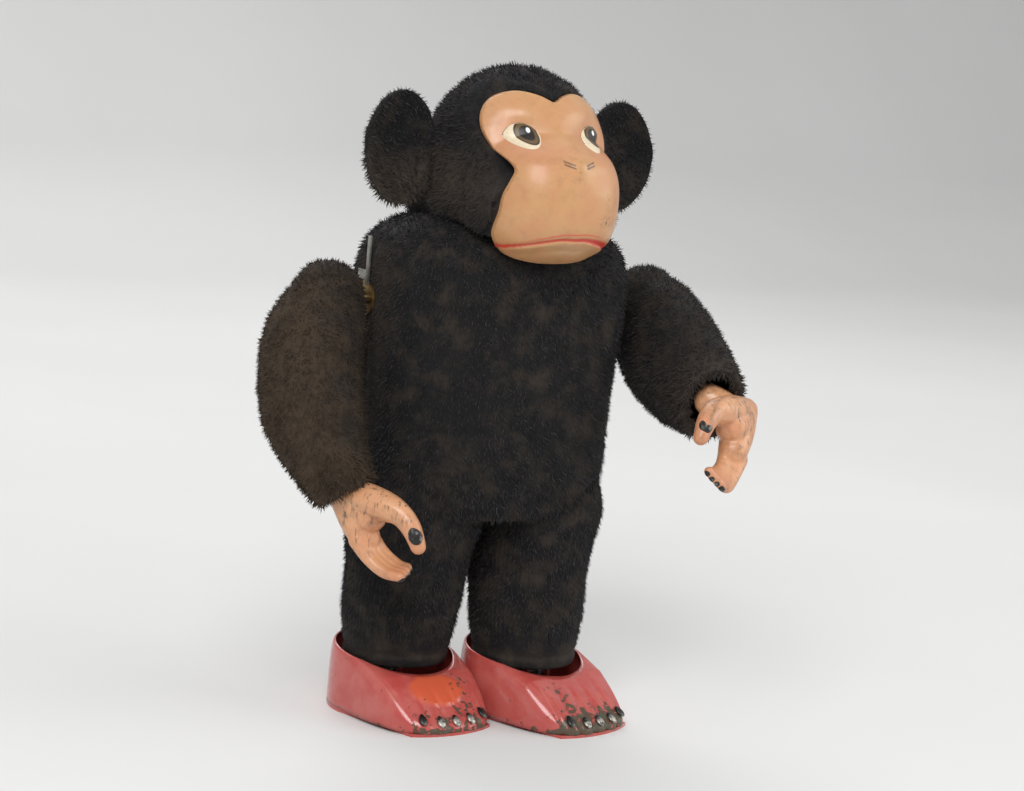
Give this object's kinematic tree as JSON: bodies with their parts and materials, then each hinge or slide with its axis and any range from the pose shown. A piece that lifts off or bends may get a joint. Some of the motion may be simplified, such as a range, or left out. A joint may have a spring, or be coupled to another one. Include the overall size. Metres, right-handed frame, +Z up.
{
  "type": "wind-up walking toy",
  "caption": "Plush covered wind-up chimpanzee with pressed tin face, hands and feet; a spring motor swings its arms and legs through an inner rocker.",
  "frame": {"origin": "on the surface the toy stands on, straight under the hip pins and the rocker, on the middle plane of the body", "axes": "+Z up, the toy faces -Y, its own left side is +X"},
  "size_m": [0.1282, 0.1225, 0.175],
  "materials": {
    "plush_black": "short pile plush, worn",
    "plush_faded": "short pile plush, faded to brown",
    "flesh_tin": "semi-gloss paint on tin, worn",
    "hand_tin": "semi-gloss paint on tin, grimy",
    "foot_tin": "gloss paint on tin, chipped",
    "bare_tin": "bare pressed tin",
    "steel": "plain steel",
    "brass": "plain brass"
  },
  "bodies": {
    "root": {"front_plate": "bare_tin", "rear_plate": "bare_tin", "frame_pillars": "steel", "frame_screws": "steel", "rocker_bridge": "steel", "hip_channel": "bare_tin", "hip_pins": "steel", "mainspring": "steel", "shell_spacers": "steel", "torso_shell_front": "bare_tin", "torso_shell_rear": "bare_tin", "torso_plush": "plush_black", "key_eyelet": "brass", "shoulder_bush_right": "brass", "shoulder_bush_left": "brass", "shoulder_strap_right": "bare_tin", "neck_plate": "bare_tin", "head_shell": "bare_tin", "head_plush": "plush_black", "face_mask": "flesh_tin", "ear_right": "plush_faded", "ear_left": "plush_black"},
    "great_wheel": {"great_wheel": "brass"},
    "click": {"click": "steel"},
    "winding": {"winding_arbor": "steel", "ratchet_wheel": "steel", "winding_key": "bare_tin"},
    "second": {"second_arbor": "steel", "second_wheel": "brass"},
    "crank": {"crank_arbor": "steel", "crank_wheel": "brass", "crank_disc": "steel"},
    "governor": {"fly_arbor": "steel", "fly_fan": "bare_tin"},
    "rocker": {"rocker_shaft": "steel", "rocker_bar": "steel"},
    "leg_right": {"leg_lever_right": "steel", "trouser_right": "plush_black"},
    "foot_right": {"foot_upper_right": "foot_tin", "foot_sole_right": "foot_tin", "ankle_pin_right": "steel"},
    "arm_right": {"shoulder_axle_right": "steel", "arm_crank_right": "steel", "arm_rod_right": "steel", "sleeve_right": "plush_faded", "hand_outer_right": "hand_tin", "hand_inner_right": "hand_tin"},
    "leg_left": {"leg_lever_left": "steel", "trouser_left": "plush_black"},
    "foot_left": {"foot_upper_left": "foot_tin", "foot_sole_left": "foot_tin", "ankle_pin_left": "steel"},
    "arm_left": {"shoulder_axle_left": "steel", "arm_crank_left": "steel", "arm_rod_left": "steel", "sleeve_left": "plush_black", "hand_outer_left": "hand_tin", "hand_inner_left": "hand_tin"}
  },
  "joints": [
    {"name": "great_wheel_spin", "type": "hinge", "parent": "root", "child": "great_wheel", "pos_m": [0, 0, 0.085], "axis": [0, 1, 0], "continuous": true},
    {"name": "click_lift", "type": "hinge", "parent": "great_wheel", "child": "click", "pos_m": [-0.00181, 0, 0.09176], "axis": [0, 1, 0], "range_deg": [-20, 0], "stiffness_Nm_per_rad": 0.0001},
    {"name": "key_wind", "type": "hinge", "parent": "great_wheel", "child": "winding", "pos_m": [0, 0, 0.085], "axis": [0, 1, 0], "continuous": true},
    {"name": "second_spin", "type": "hinge", "parent": "root", "child": "second", "pos_m": [0, 0, 0.097], "axis": [0, 1, 0], "continuous": true},
    {"name": "crank_spin", "type": "hinge", "parent": "root", "child": "crank", "pos_m": [0, 0, 0.109], "axis": [0, 1, 0], "continuous": true},
    {"name": "governor_spin", "type": "hinge", "parent": "root", "child": "governor", "pos_m": [-0.00831, 0, 0.1042], "axis": [0, 1, 0], "continuous": true},
    {"name": "rocker_turn", "type": "hinge", "parent": "root", "child": "rocker", "pos_m": [0, 0, 0.126], "axis": [0, 0, 1], "range_deg": [-24, 0]},
    {"name": "leg_left_swing", "type": "hinge", "parent": "root", "child": "leg_left", "pos_m": [0, 0, 0.072], "axis": [1, 0, 0], "range_deg": [0, 9.23]},
    {"name": "leg_right_swing", "type": "hinge", "parent": "root", "child": "leg_right", "pos_m": [0, 0, 0.072], "axis": [1, 0, 0], "range_deg": [-9.23, 0]},
    {"name": "ankle_left", "type": "hinge", "parent": "leg_left", "child": "foot_left", "pos_m": [0, -0.00499, 0.0102], "axis": [1, 0, 0], "range_deg": [-9.23, 0]},
    {"name": "ankle_right", "type": "hinge", "parent": "leg_right", "child": "foot_right", "pos_m": [0, 0.00499, 0.0102], "axis": [1, 0, 0], "range_deg": [0, 9.23]},
    {"name": "arm_left_swing", "type": "hinge", "parent": "root", "child": "arm_left", "pos_m": [0, 0, 0.112], "axis": [1, 0, 0], "range_deg": [0, 40.81]},
    {"name": "arm_right_swing", "type": "hinge", "parent": "root", "child": "arm_right", "pos_m": [0, 0, 0.112], "axis": [1, 0, 0], "range_deg": [-40.81, 0]}
  ],
  "couplings": [
    {"joint": "great_wheel_spin", "follows": "crank_spin", "ratio": 0.083333},
    {"joint": "second_spin", "follows": "crank_spin", "ratio": -0.33333},
    {"joint": "governor_spin", "follows": "crank_spin", "ratio": -3},
    {"joint": "leg_left_swing", "follows": "rocker_turn", "ratio": -0.38445},
    {"joint": "leg_right_swing", "follows": "rocker_turn", "ratio": 0.38445},
    {"joint": "ankle_left", "follows": "rocker_turn", "ratio": 0.38445},
    {"joint": "ankle_right", "follows": "rocker_turn", "ratio": -0.38445},
    {"joint": "arm_left_swing", "follows": "rocker_turn", "ratio": -1.7003},
    {"joint": "arm_right_swing", "follows": "rocker_turn", "ratio": 1.7003}
  ]
}
